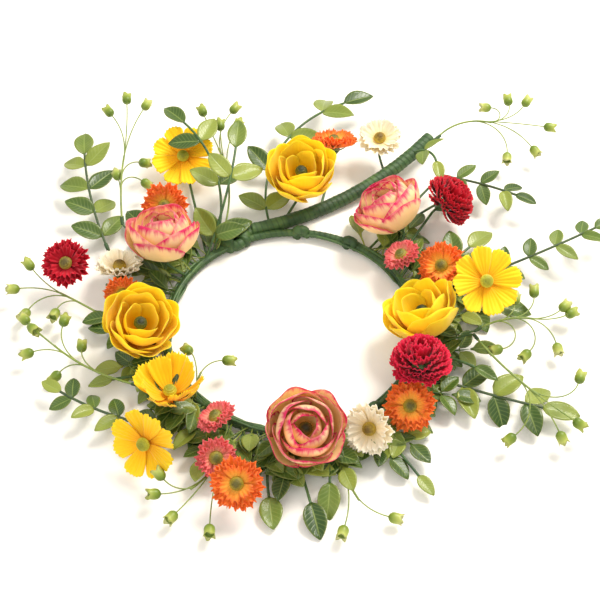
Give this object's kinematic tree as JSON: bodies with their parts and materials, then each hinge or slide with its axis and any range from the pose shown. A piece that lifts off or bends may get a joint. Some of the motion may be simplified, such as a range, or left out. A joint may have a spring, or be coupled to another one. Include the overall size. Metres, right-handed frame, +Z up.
{
  "type": "flower crown",
  "caption": "Wire hoop wound with green tape that carries artificial roses, cosmos, carnations, leaf twigs and bud sprays, with a free branch at the back",
  "frame": {"origin": "centre of the hoop, on its centre line plane", "axes": "+Z up through the head opening, -Y towards the front of the crown"},
  "size_m": [0.4464, 0.3978, 0.0693],
  "materials": {
    "hoop_wire": "drawn wire",
    "hoop_tape": "waxed crepe tape",
    "yellow_ranunculus_left": "woven polyester",
    "yellow_ranunculus_right": "woven polyester",
    "pink_ranunculus_front": "woven polyester",
    "pink_ranunculus_left": "woven polyester",
    "pink_ranunculus_right": "woven polyester",
    "yellow_cosmos_right": "woven polyester",
    "yellow_cosmos_left": "woven polyester",
    "yellow_cosmos_low": "woven polyester",
    "yellow_cosmos_back": "woven polyester",
    "red_carnation_back": "woven polyester",
    "orange_carnation_left": "woven polyester",
    "orange_carnation_side": "woven polyester",
    "orange_carnation_right": "woven polyester",
    "white_carnation_front": "woven polyester",
    "white_carnation_left": "woven polyester",
    "orange_carnation_low": "woven polyester",
    "pink_carnation_low": "woven polyester",
    "pink_carnation_top": "woven polyester",
    "pink_carnation_side": "woven polyester",
    "branch_root": "waxed crepe tape",
    "tape_bands": "waxed crepe tape",
    "flower_eyes": "matte",
    "flower_stems": "covered wire",
    "stem_feet": "covered wire",
    "filler_leaves": "satin moulding",
    "filler_sprays": "matte moulding",
    "branch_wires": "drawn wire",
    "branch_tape": "waxed crepe tape",
    "yellow_ranunculus_back": "woven polyester",
    "orange_carnation_back": "woven polyester",
    "white_carnation_back": "woven polyester",
    "branch_flower_eyes": "matte",
    "branch_flower_stems": "covered wire",
    "branch_leaves": "satin moulding",
    "left_back_twig_stem": "covered wire",
    "left_back_twig_leaves": "satin moulding",
    "back_right_twig_stem": "covered wire",
    "back_right_twig_leaves": "satin moulding",
    "right_twig_stem": "covered wire",
    "right_twig_leaves": "satin moulding",
    "right_front_twig_stem": "covered wire",
    "right_front_twig_leaves": "satin moulding",
    "left_front_twig_stem": "covered wire",
    "left_front_twig_leaves": "satin moulding",
    "back_left_spray": "matte moulding",
    "right_spray": "matte moulding",
    "right_front_spray": "matte moulding",
    "left_spray": "matte moulding",
    "left_back_spray": "matte moulding",
    "back_right_spray": "matte moulding",
    "red_carnation_left": "woven polyester",
    "red_carnation_left_stem": "covered wire",
    "red_carnation_left_eye": "matte",
    "orange_carnation_front": "woven polyester",
    "orange_carnation_front_stem": "covered wire",
    "orange_carnation_front_eye": "matte",
    "red_carnation_right": "woven polyester",
    "red_carnation_right_stem": "covered wire"
  },
  "bodies": {
    "crown": {"hoop_wire": "hoop_wire", "hoop_tape": "hoop_tape", "yellow_ranunculus_left": "yellow_ranunculus_left", "yellow_ranunculus_right": "yellow_ranunculus_right", "pink_ranunculus_front": "pink_ranunculus_front", "pink_ranunculus_left": "pink_ranunculus_left", "pink_ranunculus_right": "pink_ranunculus_right", "yellow_cosmos_right": "yellow_cosmos_right", "yellow_cosmos_left": "yellow_cosmos_left", "yellow_cosmos_low": "yellow_cosmos_low", "yellow_cosmos_back": "yellow_cosmos_back", "red_carnation_back": "red_carnation_back", "orange_carnation_left": "orange_carnation_left", "orange_carnation_side": "orange_carnation_side", "orange_carnation_right": "orange_carnation_right", "white_carnation_front": "white_carnation_front", "white_carnation_left": "white_carnation_left", "orange_carnation_low": "orange_carnation_low", "pink_carnation_low": "pink_carnation_low", "pink_carnation_top": "pink_carnation_top", "pink_carnation_side": "pink_carnation_side", "branch_root": "branch_root", "tape_bands": "tape_bands", "flower_eyes": "flower_eyes", "flower_stems": "flower_stems", "stem_feet": "stem_feet", "filler_leaves": "filler_leaves", "filler_sprays": "filler_sprays"},
    "back_branch": {"branch_wires": "branch_wires", "branch_tape": "branch_tape", "yellow_ranunculus_back": "yellow_ranunculus_back", "orange_carnation_back": "orange_carnation_back", "white_carnation_back": "white_carnation_back", "branch_flower_eyes": "branch_flower_eyes", "branch_flower_stems": "branch_flower_stems", "branch_leaves": "branch_leaves"},
    "left_back_twig": {"left_back_twig_stem": "left_back_twig_stem", "left_back_twig_leaves": "left_back_twig_leaves"},
    "back_right_twig": {"back_right_twig_stem": "back_right_twig_stem", "back_right_twig_leaves": "back_right_twig_leaves"},
    "right_twig": {"right_twig_stem": "right_twig_stem", "right_twig_leaves": "right_twig_leaves"},
    "right_front_twig": {"right_front_twig_stem": "right_front_twig_stem", "right_front_twig_leaves": "right_front_twig_leaves"},
    "left_front_twig": {"left_front_twig_stem": "left_front_twig_stem", "left_front_twig_leaves": "left_front_twig_leaves"},
    "back_left_spray": {"back_left_spray": "back_left_spray"},
    "right_spray": {"right_spray": "right_spray"},
    "right_front_spray": {"right_front_spray": "right_front_spray"},
    "left_spray": {"left_spray": "left_spray"},
    "left_back_spray": {"left_back_spray": "left_back_spray"},
    "back_right_spray": {"back_right_spray": "back_right_spray"},
    "red_carnation_left": {"red_carnation_left": "red_carnation_left", "red_carnation_left_stem": "red_carnation_left_stem", "red_carnation_left_eye": "red_carnation_left_eye"},
    "orange_carnation_front": {"orange_carnation_front": "orange_carnation_front", "orange_carnation_front_stem": "orange_carnation_front_stem", "orange_carnation_front_eye": "orange_carnation_front_eye"},
    "red_carnation_right": {"red_carnation_right": "red_carnation_right", "red_carnation_right_stem": "red_carnation_right_stem"}
  },
  "joints": [
    {"name": "back_branch_bend", "type": "hinge", "parent": "crown", "child": "back_branch", "pos_m": [-0.03283, 0.09021, 0], "axis": [0.342, -0.9397, 0], "range_deg": [-6, 10]},
    {"name": "left_back_twig_bend", "type": "hinge", "parent": "crown", "child": "left_back_twig", "pos_m": [-0.139, 0.07082, 0.006], "axis": [0.9155, 0.4023, 0], "range_deg": [-12, 17]},
    {"name": "back_right_twig_bend", "type": "hinge", "parent": "crown", "child": "back_right_twig", "pos_m": [0.1194, 0.13736, 0.012], "axis": [-0.2993, -0.9541, 0], "range_deg": [-10, 15]},
    {"name": "right_twig_bend", "type": "hinge", "parent": "crown", "child": "right_twig", "pos_m": [0.14536, 0.04444, 0.008], "axis": [0.3473, -0.9377, 0], "range_deg": [-12, 20]},
    {"name": "right_front_twig_bend", "type": "hinge", "parent": "crown", "child": "right_front_twig", "pos_m": [0.10876, -0.05071, 0.004], "axis": [-0.3689, -0.9295, 0], "range_deg": [-12, 5]},
    {"name": "left_front_twig_bend", "type": "hinge", "parent": "crown", "child": "left_front_twig", "pos_m": [-0.10941, -0.08245, 0.005], "axis": [0.2463, 0.9692, 0], "range_deg": [-8, 10]},
    {"name": "back_left_spray_bend", "type": "hinge", "parent": "crown", "child": "back_left_spray", "pos_m": [-0.12767, 0.08612, 0.018], "axis": [0.9927, 0.1205, 0], "range_deg": [-8, 12]},
    {"name": "right_spray_bend", "type": "hinge", "parent": "crown", "child": "right_spray", "pos_m": [0.13168, -0.00921, 0.01], "axis": [0.4462, -0.8949, 0], "range_deg": [-7, 10]},
    {"name": "right_front_spray_bend", "type": "hinge", "parent": "crown", "child": "right_front_spray", "pos_m": [0.12761, -0.02481, 0.022], "axis": [-0.8969, -0.4422, 0], "range_deg": [-3, 20]},
    {"name": "left_spray_bend", "type": "hinge", "parent": "crown", "child": "left_spray", "pos_m": [-0.1067, -0.05915, 0.014], "axis": [0.264, 0.9645, 0], "range_deg": [-6, 15]},
    {"name": "left_back_spray_bend", "type": "hinge", "parent": "crown", "child": "left_back_spray", "pos_m": [-0.13966, 0.00977, 0.004], "axis": [0.5398, 0.8418, 0], "range_deg": [-6, 4]},
    {"name": "back_right_spray_bend", "type": "hinge", "parent": "back_branch", "child": "back_right_spray", "pos_m": [0.11492, 0.17696, 0.015], "axis": [0.7851, -0.6193, 0], "range_deg": [-12, 20]},
    {"name": "red_carnation_left_bend", "type": "hinge", "parent": "crown", "child": "red_carnation_left", "pos_m": [-0.13716, 0.03675, 0.004], "axis": [0.4355, 0.9002, 0], "range_deg": [-6, 12]},
    {"name": "orange_carnation_front_bend", "type": "hinge", "parent": "crown", "child": "orange_carnation_front", "pos_m": [-0.03, -0.12032, 0.004], "axis": [-0.9453, 0.3262, 0], "range_deg": [-12, 20]},
    {"name": "red_carnation_right_bend", "type": "hinge", "parent": "crown", "child": "red_carnation_right", "pos_m": [0.08396, -0.05246, 0.014], "axis": [-0.8619, -0.507, 0], "range_deg": [-4, 2]}
  ]
}
